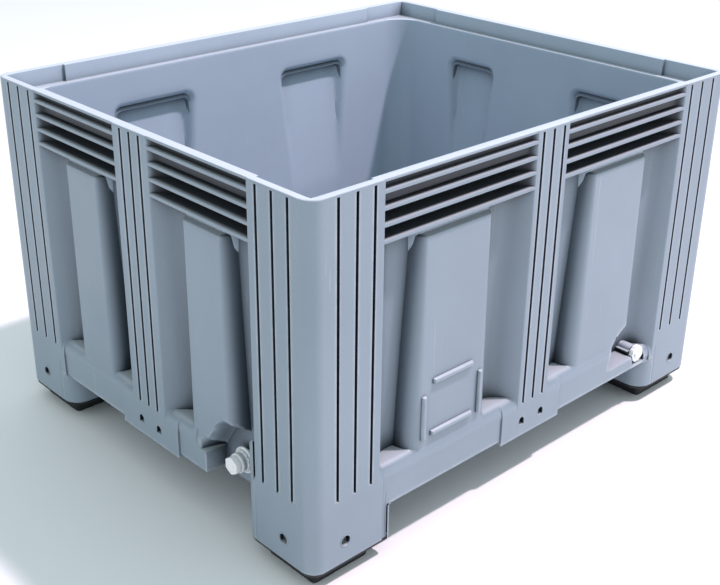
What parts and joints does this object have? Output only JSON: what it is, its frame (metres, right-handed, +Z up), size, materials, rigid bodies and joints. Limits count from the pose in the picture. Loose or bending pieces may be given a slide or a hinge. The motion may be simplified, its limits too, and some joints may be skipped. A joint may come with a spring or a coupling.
{
  "type": "pallet box",
  "caption": "Open-topped plastic pallet box on corner feet, with louvred sides, padded feet, a capped outlet and a plugged drain.",
  "frame": {"origin": "middle of the footprint, at the floor that the foot pads stand on", "axes": "+X along the long sides, +Y across, with the plugged drain on the -Y side and the capped outlet on the -X side, +Z up"},
  "size_m": [1.2, 1, 0.76],
  "materials": {
    "box_plastic": "satin moulded polyethylene, grey-blue",
    "fitting_plastic": "satin moulded plastic, white",
    "pad_plastic": "moulded plastic, black",
    "seal_rubber": "moulded rubber, black",
    "screw_steel": "dulled steel"
  },
  "bodies": {
    "box": {"box_body": "box_plastic", "foot_pad_front_left": "pad_plastic", "foot_pad_front_right": "pad_plastic", "foot_pad_rear_left": "pad_plastic", "foot_pad_rear_right": "pad_plastic", "foot_screw_front_left": "screw_steel", "foot_screw_front_right": "screw_steel", "foot_screw_right_front": "screw_steel", "foot_screw_right_rear": "screw_steel", "foot_screw_rear_left": "screw_steel", "foot_screw_rear_right": "screw_steel", "foot_screw_left_front": "screw_steel", "foot_screw_left_rear": "screw_steel", "outlet_spigot": "fitting_plastic", "outlet_gasket": "seal_rubber", "outlet_locknut": "fitting_plastic"},
    "cap_seal": {"outlet_cap_seal": "seal_rubber"},
    "cap": {"outlet_cap": "fitting_plastic"},
    "plug_seal": {"drain_plug_seal": "seal_rubber"},
    "plug": {"drain_plug": "fitting_plastic"}
  },
  "joints": [
    {"name": "cap_travel", "type": "slide", "parent": "box", "child": "cap_seal", "axis": [-1, 0, 0], "range_m": [0, 0.012]},
    {"name": "cap_turn", "type": "hinge", "parent": "cap_seal", "child": "cap", "pos_m": [-0.6, -0.267, 0.167], "axis": [-1, 0, 0], "range_deg": [0, 1440]},
    {"name": "plug_travel", "type": "slide", "parent": "box", "child": "plug_seal", "axis": [0, -1, 0], "range_m": [0, 0.015]},
    {"name": "plug_turn", "type": "hinge", "parent": "plug_seal", "child": "plug", "pos_m": [0.386, -0.5, 0.142], "axis": [0, -1, 0], "range_deg": [0, 1800]}
  ],
  "couplings": [
    {"joint": "cap_travel", "follows": "cap_turn", "m_per_rad": 0.00047746},
    {"joint": "plug_travel", "follows": "plug_turn", "m_per_rad": 0.00047746}
  ]
}
